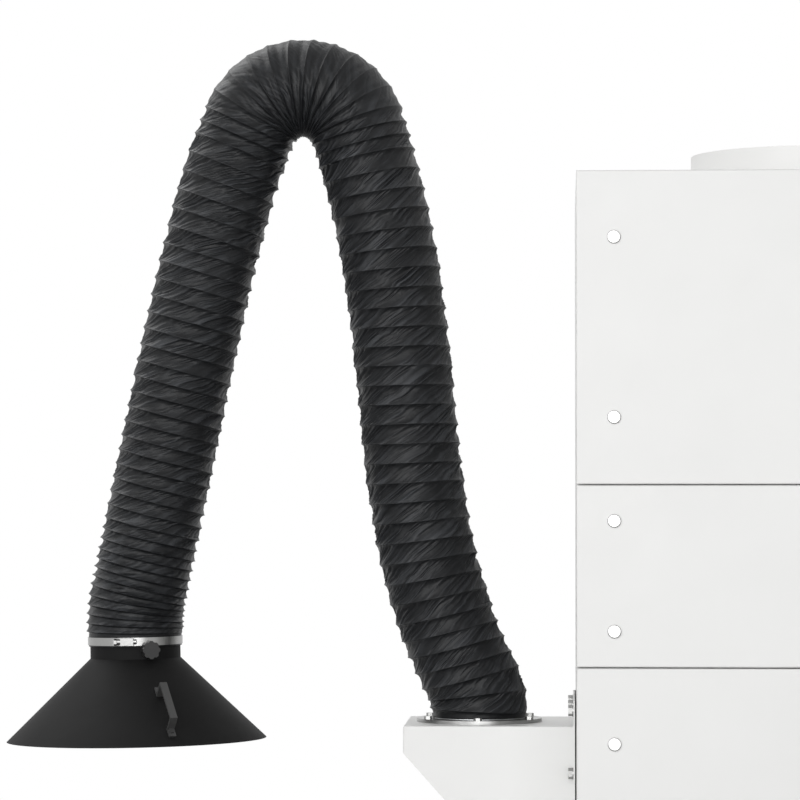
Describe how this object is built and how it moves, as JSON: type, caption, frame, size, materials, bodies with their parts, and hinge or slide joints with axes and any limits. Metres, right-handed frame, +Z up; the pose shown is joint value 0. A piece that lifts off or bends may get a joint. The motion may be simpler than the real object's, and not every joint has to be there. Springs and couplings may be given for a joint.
{
  "type": "welding fume extractor",
  "caption": "Stationary filter cabinet with hinged doors and a dust drawer that draws welding fume through a jointed hose arm with a cone hood.",
  "frame": {"origin": "on the floor, in the middle of the four anchor holes under the cabinet", "axes": "+X to the right in the front view, +Y from the doors to the back, +Z up"},
  "size_m": [1.5515, 0.704, 1.5633],
  "materials": {
    "white_paint": "satin white powder coat",
    "black_paint": "satin black coating",
    "motor_paint": "semi-gloss grey paint",
    "zinc_sheet": "galvanised sheet",
    "bright_steel": "zinc-plated steel",
    "handle_steel": "dull grey plated strap",
    "lock_steel": "nickel-plated die casting",
    "hose_cloth": "coated black hose cloth over a wire spiral",
    "filter_media": "pleated filter medium",
    "seal_rubber": "black foam rubber",
    "black_plastic": "matt black plastic",
    "knob_plastic": "matt black plastic knob on a plated spindle",
    "grey_plastic": "light grey plastic",
    "green_plastic": "green push button",
    "red_plastic": "red push button",
    "friction_plastic": "friction lining"
  },
  "bodies": {
    "cabinet": {"base_frame": "white_paint", "floor_pan": "white_paint", "side_panel_left": "white_paint", "side_panel_right": "white_paint", "back_panel": "white_paint", "roof_panel": "white_paint", "front_rails": "white_paint", "filter_shelf": "zinc_sheet", "fan_shelf": "zinc_sheet", "fine_filter": "filter_media", "pre_filter": "filter_media", "spark_screen": "zinc_sheet", "inlet_cone": "zinc_sheet", "motor_stand": "zinc_sheet", "motor": "motor_paint", "outlet_collar": "white_paint", "control_box": "grey_plastic", "cable_gland": "black_plastic", "hinge_pins": "bright_steel", "drawer_runners": "zinc_sheet", "inlet_box": "white_paint", "inlet_gasket": "seal_rubber", "inlet_fasteners": "bright_steel", "swivel_base_ring": "bright_steel"},
    "fan": {"impeller": "zinc_sheet"},
    "drawer": {"dust_drawer": "white_paint", "drawer_handle": "black_plastic"},
    "start": {"start_button": "green_plastic"},
    "stop": {"stop_button": "red_plastic"},
    "switch": {"switch_knob": "black_plastic"},
    "swivel": {"swivel_spigot": "zinc_sheet", "shoulder_bracket": "bright_steel", "hose_base": "hose_cloth"},
    "lower_arm": {"lower_link": "bright_steel", "friction_discs": "friction_plastic", "pivot_bolts": "bright_steel", "hose_lower": "hose_cloth", "hose_elbow": "hose_cloth"},
    "outer_arm": {"outer_link": "bright_steel", "hose_outer": "hose_cloth", "hose_wrist": "hose_cloth"},
    "wrist": {"wrist_cross": "bright_steel"},
    "hood": {"hood": "black_paint", "hood_stirrup": "bright_steel", "hood_handle": "handle_steel", "hood_clamp": "bright_steel"},
    "damper": {"damper_flap": "zinc_sheet", "damper_spindle": "knob_plastic"},
    "top_door": {"top_door": "white_paint", "top_door_gasket": "seal_rubber"},
    "top_door_upper_lock": {"top_door_upper_lock": "lock_steel"},
    "top_door_lower_lock": {"top_door_lower_lock": "lock_steel"},
    "middle_door": {"middle_door": "white_paint", "middle_door_gasket": "seal_rubber"},
    "middle_door_upper_lock": {"middle_door_upper_lock": "lock_steel"},
    "middle_door_lower_lock": {"middle_door_lower_lock": "lock_steel"},
    "lower_door": {"lower_door": "white_paint", "lower_door_gasket": "seal_rubber"},
    "lower_door_upper_lock": {"lower_door_upper_lock": "lock_steel"},
    "lower_door_lower_lock": {"lower_door_lower_lock": "lock_steel"}
  },
  "joints": [
    {"name": "arm_swivel", "type": "hinge", "parent": "cabinet", "child": "swivel", "pos_m": [-0.4688, 0, 0.617], "axis": [0, 0, 1], "range_deg": [-90, 90]},
    {"name": "arm_shoulder", "type": "hinge", "parent": "swivel", "child": "lower_arm", "pos_m": [-0.4688, 0, 0.668], "axis": [0, -1, 0], "range_deg": [-10, 35], "deforming": ["hose_base"]},
    {"name": "arm_elbow", "type": "hinge", "parent": "lower_arm", "child": "outer_arm", "pos_m": [-0.71343, 0, 1.49409], "axis": [0, 1, 0], "range_deg": [-5, 110], "deforming": ["hose_elbow"]},
    {"name": "hood_tilt", "type": "hinge", "parent": "outer_arm", "child": "wrist", "pos_m": [-0.9483, 0, 0.80155], "axis": [0, 1, 0], "range_deg": [-40, 40], "deforming": ["hose_wrist"]},
    {"name": "hood_roll", "type": "hinge", "parent": "wrist", "child": "hood", "pos_m": [-0.9483, 0, 0.80155], "axis": [0.9998, 0, 0.0175], "range_deg": [-40, 40], "deforming": ["hose_wrist"]},
    {"name": "damper_turn", "type": "hinge", "parent": "hood", "child": "damper", "pos_m": [-0.94681, 0, 0.71657], "axis": [0.3987, -0.9171, 0.007], "range_deg": [0, 90]},
    {"name": "top_door_swing", "type": "hinge", "parent": "cabinet", "child": "top_door", "pos_m": [0.3415, -0.311, 1.1465], "axis": [0, 0, 1], "range_deg": [0, 110]},
    {"name": "top_door_upper_lock_turn", "type": "hinge", "parent": "top_door", "child": "top_door_upper_lock", "pos_m": [-0.2865, -0.335, 1.263], "axis": [0, 1, 0], "range_deg": [0, 90]},
    {"name": "top_door_lower_lock_turn", "type": "hinge", "parent": "top_door", "child": "top_door_lower_lock", "pos_m": [-0.2865, -0.335, 1.03], "axis": [0, -1, 0], "range_deg": [0, 90]},
    {"name": "middle_door_swing", "type": "hinge", "parent": "cabinet", "child": "middle_door", "pos_m": [0.3415, -0.311, 0.82475], "axis": [0, 0, 1], "range_deg": [0, 110]},
    {"name": "middle_door_upper_lock_turn", "type": "hinge", "parent": "middle_door", "child": "middle_door_upper_lock", "pos_m": [-0.2865, -0.335, 0.896], "axis": [0, 1, 0], "range_deg": [0, 90]},
    {"name": "middle_door_lower_lock_turn", "type": "hinge", "parent": "middle_door", "child": "middle_door_lower_lock", "pos_m": [-0.2865, -0.335, 0.7535], "axis": [0, -1, 0], "range_deg": [0, 90]},
    {"name": "lower_door_swing", "type": "hinge", "parent": "cabinet", "child": "lower_door", "pos_m": [0.3415, -0.311, 0.47175], "axis": [0, 0, 1], "range_deg": [0, 110]},
    {"name": "lower_door_upper_lock_turn", "type": "hinge", "parent": "lower_door", "child": "lower_door_upper_lock", "pos_m": [-0.2865, -0.335, 0.6085], "axis": [0, 1, 0], "range_deg": [0, 90]},
    {"name": "lower_door_lower_lock_turn", "type": "hinge", "parent": "lower_door", "child": "lower_door_lower_lock", "pos_m": [-0.2865, -0.335, 0.335], "axis": [0, -1, 0], "range_deg": [0, 90]},
    {"name": "drawer_slide", "type": "slide", "parent": "cabinet", "child": "drawer", "axis": [0, -1, 0], "range_m": [0, 0.45]},
    {"name": "fan_spin", "type": "hinge", "parent": "cabinet", "child": "fan", "pos_m": [0, 0, 1.1095], "axis": [0, 0, 1], "continuous": true},
    {"name": "start_press", "type": "slide", "parent": "cabinet", "child": "start", "axis": [-1, 0, 0], "range_m": [0, 0.004], "stiffness_N_per_m": 600},
    {"name": "stop_press", "type": "slide", "parent": "cabinet", "child": "stop", "axis": [-1, 0, 0], "range_m": [0, 0.004], "stiffness_N_per_m": 600},
    {"name": "switch_turn", "type": "hinge", "parent": "cabinet", "child": "switch", "pos_m": [0.405, -0.15, 1.138], "axis": [1, 0, 0], "range_deg": [0, 90]}
  ]
}
